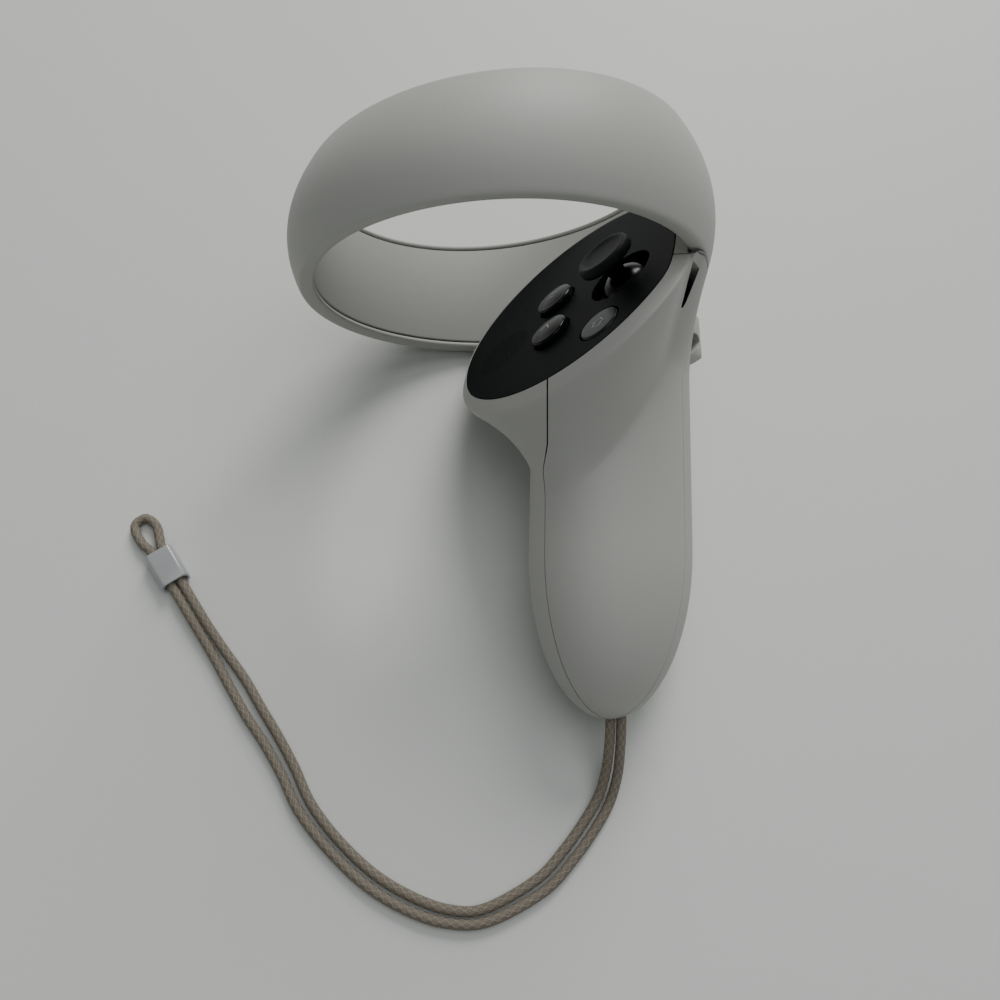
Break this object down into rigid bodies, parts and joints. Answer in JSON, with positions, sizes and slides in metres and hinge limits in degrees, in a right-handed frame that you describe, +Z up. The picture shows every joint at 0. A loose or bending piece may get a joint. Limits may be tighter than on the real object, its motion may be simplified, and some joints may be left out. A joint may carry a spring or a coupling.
{
  "type": "vr motion controller",
  "caption": "Right-hand VR motion controller: tracking ring round a dark button face, tapered grip with battery cover, index trigger, side grip button and a wrist cord",
  "frame": {"origin": "middle of the controller's bounding box without the cord, on the table it lies on", "axes": "+Z up from the table, +X to the user's right in the resting pose, +Y away; the grip points to -Y and the ring to +Y"},
  "size_m": [0.1361, 0.167, 0.0916],
  "materials": {
    "shell": "fine spark texture, light warm grey",
    "plate": "satin blue-black with a very fine grain",
    "key": "glossy black",
    "rubber": "soft matte black grip rubber",
    "frame": "dark grey moulding",
    "board": "green solder resist",
    "flex": "amber flexible circuit",
    "lens": "dark emitter lens",
    "steel": "bright steel",
    "contact": "plated spring metal",
    "cell": "plain wrapped cell",
    "cord": "braided beige cord",
    "slider": "smoky grey moulding"
  },
  "bodies": {
    "controller_body": {"ring_outer_shell": "shell", "ring_inner_shell": "shell", "tracking_strip": "flex", "infrared_emitter_1": "lens", "infrared_emitter_2": "lens", "infrared_emitter_3": "lens", "infrared_emitter_4": "lens", "infrared_emitter_5": "lens", "infrared_emitter_6": "lens", "infrared_emitter_7": "lens", "infrared_emitter_8": "lens", "infrared_emitter_9": "lens", "infrared_emitter_10": "lens", "infrared_emitter_11": "lens", "infrared_emitter_12": "lens", "main_housing": "shell", "face_plate": "plate", "main_board": "board", "carrier_frame": "frame", "board_screw_1": "steel", "board_screw_2": "steel", "board_screw_3": "steel", "board_screw_4": "steel", "switch_upper": "frame", "switch_lower": "frame", "switch_home": "frame", "stick_base": "steel", "stick_switch": "frame", "inner_frame": "frame", "battery_cell": "cell", "battery_spring_contact": "contact", "battery_plate_contact": "contact", "haptic_motor": "steel", "cord_anchor_pin": "steel", "trigger_pin": "steel", "trigger_bracket": "frame", "trigger_spring": "steel", "hall_sensor_board": "board", "grip_button_pin": "steel", "grip_button_bracket": "frame", "grip_button_spring": "steel", "wrist_cord": "cord"},
    "trigger_body": {"trigger": "shell", "trigger_magnet": "steel"},
    "grip_button_body": {"grip_button": "shell", "grip_button_magnet": "steel"},
    "stick_gimbal_body": {"stick_gimbal": "frame"},
    "stick_yoke_body": {"stick_yoke": "frame"},
    "thumbstick_body": {"thumbstick_dome": "key", "thumbstick_cap": "rubber"},
    "upper_button_body": {"button_upper": "key"},
    "lower_button_body": {"button_lower": "key"},
    "home_button_body": {"home_button": "key"},
    "battery_cover_body": {"battery_cover": "shell"},
    "cord_slider_body": {"cord_slider": "slider"}
  },
  "joints": [
    {"name": "trigger_pull", "type": "hinge", "parent": "controller_body", "child": "trigger_body", "pos_m": [0.03076, 0.02636, 0.02381], "axis": [-0.6087, 0.1595, -0.7772], "range_deg": [0, 10], "stiffness_Nm_per_rad": 0.06, "springref_deg": -5.73, "deforming": ["trigger_spring"]},
    {"name": "grip_button_press", "type": "hinge", "parent": "controller_body", "child": "grip_button_body", "pos_m": [0.02074, 0.00185, 0.014], "axis": [-0.9522, -0.1195, 0.2812], "range_deg": [0, 5], "stiffness_Nm_per_rad": 0.08, "springref_deg": -4.58, "deforming": ["grip_button_spring"]},
    {"name": "stick_press", "type": "slide", "parent": "controller_body", "child": "stick_gimbal_body", "axis": [0.6657, -0.4302, -0.6097], "range_m": [0, 0.0005], "stiffness_N_per_m": 1500, "springref_m": -0.0005},
    {"name": "stick_tilt_forward", "type": "hinge", "parent": "stick_gimbal_body", "child": "stick_yoke_body", "pos_m": [0.02769, 0.02408, 0.04428], "axis": [0.6087, -0.1595, 0.7772], "range_deg": [-17, 17], "stiffness_Nm_per_rad": 0.03},
    {"name": "stick_tilt_sideways", "type": "hinge", "parent": "stick_yoke_body", "child": "thumbstick_body", "pos_m": [0.02769, 0.02408, 0.04428], "axis": [0.4316, 0.8885, -0.1557], "range_deg": [-17, 17], "stiffness_Nm_per_rad": 0.03},
    {"name": "upper_button_press", "type": "slide", "parent": "controller_body", "child": "upper_button_body", "axis": [0.6657, -0.4302, -0.6097], "range_m": [0, 0.001], "stiffness_N_per_m": 300, "springref_m": -0.001},
    {"name": "lower_button_press", "type": "slide", "parent": "controller_body", "child": "lower_button_body", "axis": [0.6657, -0.4302, -0.6097], "range_m": [0, 0.001], "stiffness_N_per_m": 300, "springref_m": -0.001},
    {"name": "home_button_press", "type": "slide", "parent": "controller_body", "child": "home_button_body", "axis": [0.6657, -0.4302, -0.6097], "range_m": [0, 0.0004], "stiffness_N_per_m": 400, "springref_m": -0.001},
    {"name": "battery_cover_slide", "type": "slide", "parent": "controller_body", "child": "battery_cover_body", "axis": [0.6087, -0.1595, 0.7772], "range_m": [0, 0.01]},
    {"name": "cord_slider_slide", "type": "slide", "parent": "controller_body", "child": "cord_slider_body", "axis": [0.5683, -0.8228, 0], "range_m": [0, 0.01]}
  ]
}
